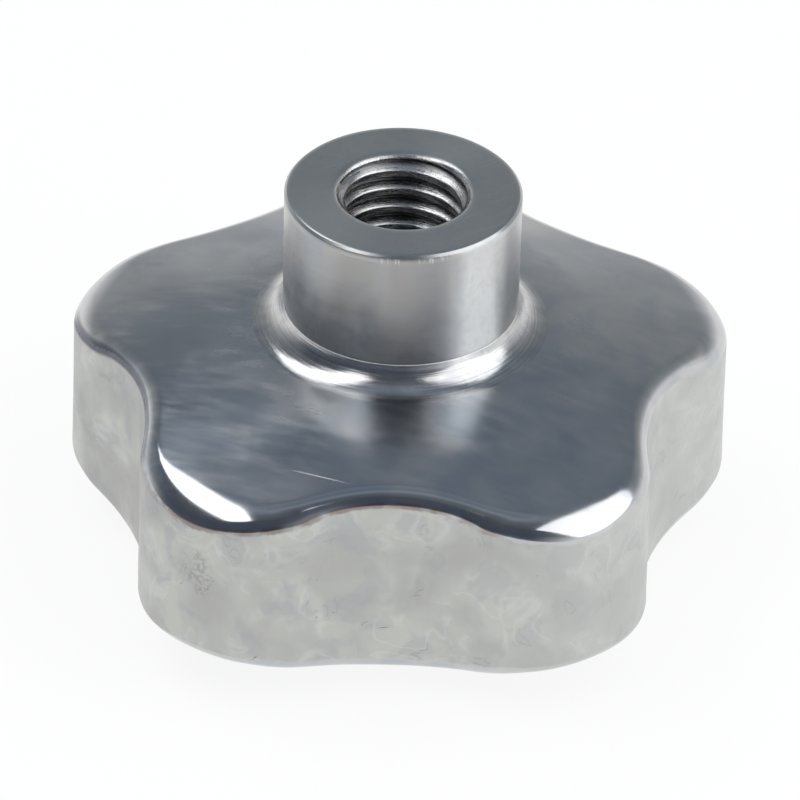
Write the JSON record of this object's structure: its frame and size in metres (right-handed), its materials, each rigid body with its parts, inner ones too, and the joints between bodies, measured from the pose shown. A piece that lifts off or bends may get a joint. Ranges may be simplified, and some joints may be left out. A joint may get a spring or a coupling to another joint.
{
  "type": "star knob",
  "caption": "Cast aluminium star knob: a lobed hand grip with a turned boss, tapped to screw onto a stud or screw.",
  "frame": {"origin": "centre of the small flat on the crown, where the knob stands", "axes": "+Z along the axis from the crown to the boss and out of the tapped hole; +Y along one lobe, so that a valley faces -Y"},
  "size_m": [0.0392, 0.0379, 0.0245],
  "materials": {
    "aluminium": "cast and tumbled smooth, boss and its root turned bright"
  },
  "bodies": {
    "root": {"knob_body": "aluminium"}
  },
  "joints": []
}
